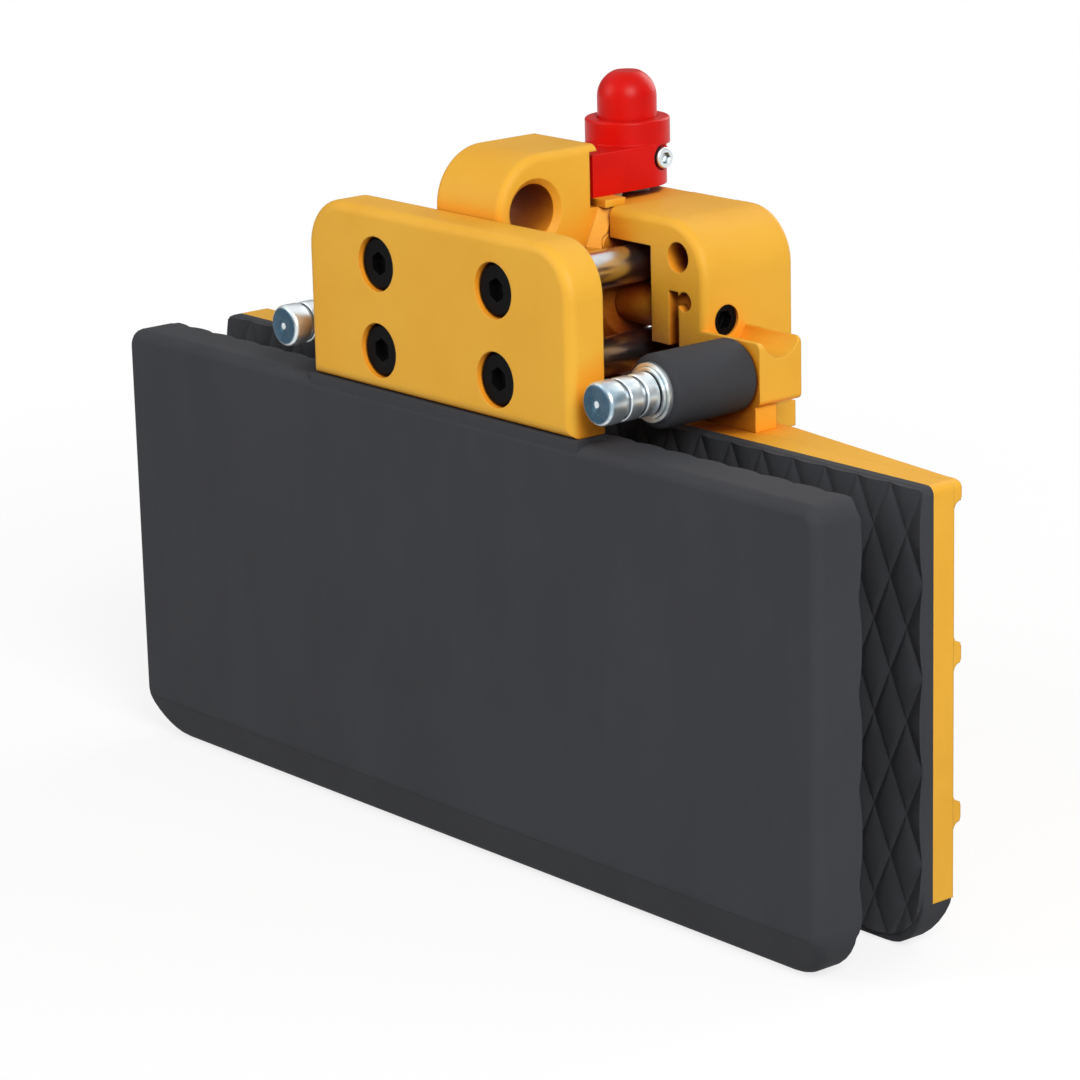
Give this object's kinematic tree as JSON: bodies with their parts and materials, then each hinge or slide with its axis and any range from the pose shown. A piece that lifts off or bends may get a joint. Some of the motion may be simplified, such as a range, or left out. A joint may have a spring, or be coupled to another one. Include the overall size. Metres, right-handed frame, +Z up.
{
  "type": "slab lifting clamp",
  "caption": "Slab lifting clamp: two long rubber-faced jaws on guide shafts, closed by a pivoting lifting eye, with a red push lock and stop bars.",
  "frame": {"origin": "on the floor, in the middle of the clamp's length and depth", "axes": "+X along the jaws, +Y from the front jaw to the rear jaw, +Z up"},
  "size_m": [0.5, 0.1464, 0.3565],
  "materials": {
    "yellow_paint": "satin powder coat",
    "jaw_rubber": "matt moulded",
    "red_lacquer": "gloss",
    "zinc_plate": "bright zinc plated",
    "shaft_steel": "ground and polished",
    "black_oxide": "black oxide",
    "bush_bronze": "machined bronze",
    "plain_steel": "machined"
  },
  "bodies": {
    "carriage": {"carriage": "yellow_paint", "rear_jaw_plate": "yellow_paint", "rear_jaw_ribs": "yellow_paint", "rear_jaw_platform": "yellow_paint", "rear_jaw_gussets": "yellow_paint", "rear_jaw_pad": "jaw_rubber", "carriage_screws": "black_oxide", "guide_bushes": "bush_bronze", "pivot_axle": "plain_steel", "axle_plugs": "black_oxide", "pivot_spacers": "yellow_paint", "left_stop_bar": "zinc_plate", "left_stop_ring": "zinc_plate", "left_stop_washer": "zinc_plate", "left_stop_sleeve": "jaw_rubber", "right_stop_bar": "zinc_plate", "right_stop_ring": "zinc_plate", "right_stop_washer": "zinc_plate", "right_stop_sleeve": "jaw_rubber"},
    "front_jaw": {"front_jaw_plate": "yellow_paint", "front_jaw_cover": "jaw_rubber", "guide_shaft_lower_left": "shaft_steel", "guide_shaft_lower_right": "shaft_steel", "guide_shaft_upper_left": "shaft_steel", "guide_shaft_upper_right": "shaft_steel", "shaft_screws": "black_oxide", "left_tie_plate": "yellow_paint", "right_tie_plate": "yellow_paint", "tie_plate_screws": "black_oxide", "draw_bar": "plain_steel", "draw_bar_screws": "black_oxide"},
    "lever": {"lifting_lever": "yellow_paint", "pivot_bushes": "bush_bronze", "draw_pin": "yellow_paint", "lock_housing": "red_lacquer", "lock_screws": "black_oxide", "lock_screw_caps": "red_lacquer", "lock_spacers": "zinc_plate", "lock_guide_bolt": "zinc_plate", "lock_guide_nut": "zinc_plate"},
    "lock_knob": {"lock_knob": "red_lacquer", "lock_plunger": "plain_steel", "lock_spring": "plain_steel"},
    "left_latch": {"left_latch_pin": "plain_steel"},
    "right_latch": {"right_latch_pin": "plain_steel"}
  },
  "joints": [
    {"name": "jaw_slide", "type": "slide", "parent": "carriage", "child": "front_jaw", "axis": [0, 1, 0], "range_m": [0, 0.02]},
    {"name": "lever_swing", "type": "hinge", "parent": "carriage", "child": "lever", "pos_m": [0, 0.02235, 0.2555], "axis": [-1, 0, 0], "range_deg": [0, 40]},
    {"name": "knob_press", "type": "slide", "parent": "lever", "child": "lock_knob", "axis": [0, 0, -1], "range_m": [0, 0.0045], "stiffness_N_per_m": 800, "springref_m": -0.004, "deforming": ["lock_spring"]},
    {"name": "left_latch_slide", "type": "slide", "parent": "lever", "child": "left_latch", "axis": [-1, 0, 0], "range_m": [0, 0.0045]},
    {"name": "right_latch_slide", "type": "slide", "parent": "lever", "child": "right_latch", "axis": [1, 0, 0], "range_m": [0, 0.0045]}
  ],
  "couplings": [
    {"joint": "lever_swing", "follows": "jaw_slide", "rad_per_m": 34.9},
    {"joint": "left_latch_slide", "follows": "knob_press", "ratio": 1},
    {"joint": "right_latch_slide", "follows": "knob_press", "ratio": 1}
  ]
}
